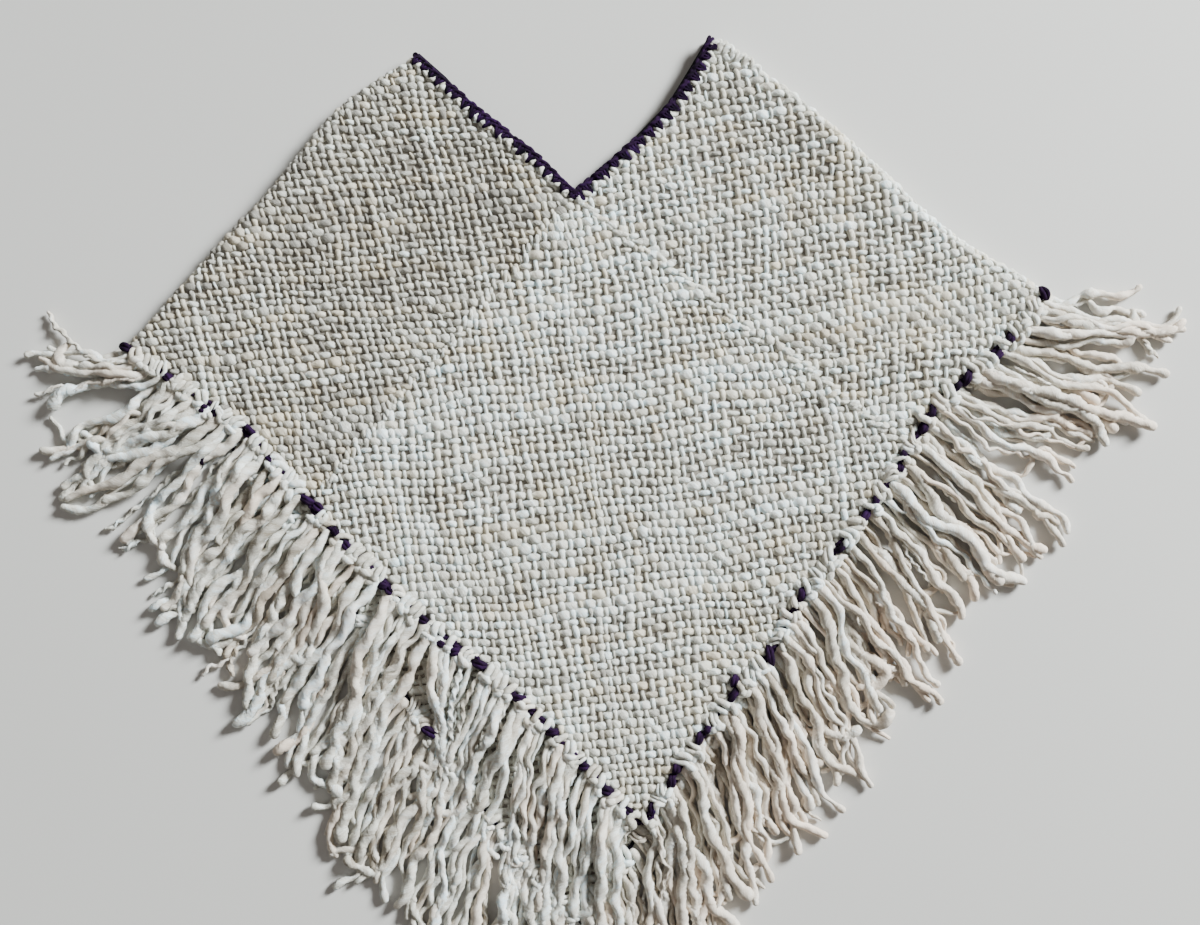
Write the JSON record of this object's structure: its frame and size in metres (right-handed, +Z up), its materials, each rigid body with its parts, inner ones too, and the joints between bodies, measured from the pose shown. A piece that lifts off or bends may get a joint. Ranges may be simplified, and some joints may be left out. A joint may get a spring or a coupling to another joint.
{
  "type": "wool poncho",
  "caption": "Hand-woven wool poncho laid flat, with folded shoulders, a V neck with a dark crochet edging and a long knotted fringe round its pointed hem",
  "frame": {"origin": "on the floor, under the middle of the bounding box of the poncho as laid flat", "axes": "+X to the right of a viewer who stands over the poncho, +Y towards the shoulders and neck, +Z up out of the front"},
  "size_m": [0.9296, 0.8286, 0.0168],
  "materials": {
    "cloth": "undyed cream wool in a chunky plain weave, matt",
    "fringe": "loose handspun cream wool yarn, matt and slightly fuzzy",
    "dark_yarn": "very dark purple wool yarn, matt"
  },
  "bodies": {
    "root": {"front_square": "cloth", "back_square": "cloth", "left_shoulder_square": "cloth", "right_shoulder_square": "cloth", "neck_edging_front_left": "dark_yarn", "neck_edging_front_right": "dark_yarn", "neck_edging_back_left": "dark_yarn", "neck_edging_back_right": "dark_yarn", "hem_yarn_front_shoulder_left": "dark_yarn", "hem_yarn_front_left": "dark_yarn", "hem_yarn_front_right": "dark_yarn", "hem_yarn_front_shoulder_right": "dark_yarn", "hem_yarn_back_shoulder_left": "dark_yarn", "hem_yarn_back_left": "dark_yarn", "hem_yarn_back_right": "dark_yarn", "hem_yarn_back_shoulder_right": "dark_yarn", "fringe_front_shoulder_left": "fringe", "fringe_front_left": "fringe", "fringe_front_right": "fringe", "fringe_front_shoulder_right": "fringe", "fringe_back_shoulder_left": "fringe", "fringe_back_left": "fringe", "fringe_back_right": "fringe", "fringe_back_shoulder_right": "fringe"}
  },
  "joints": []
}
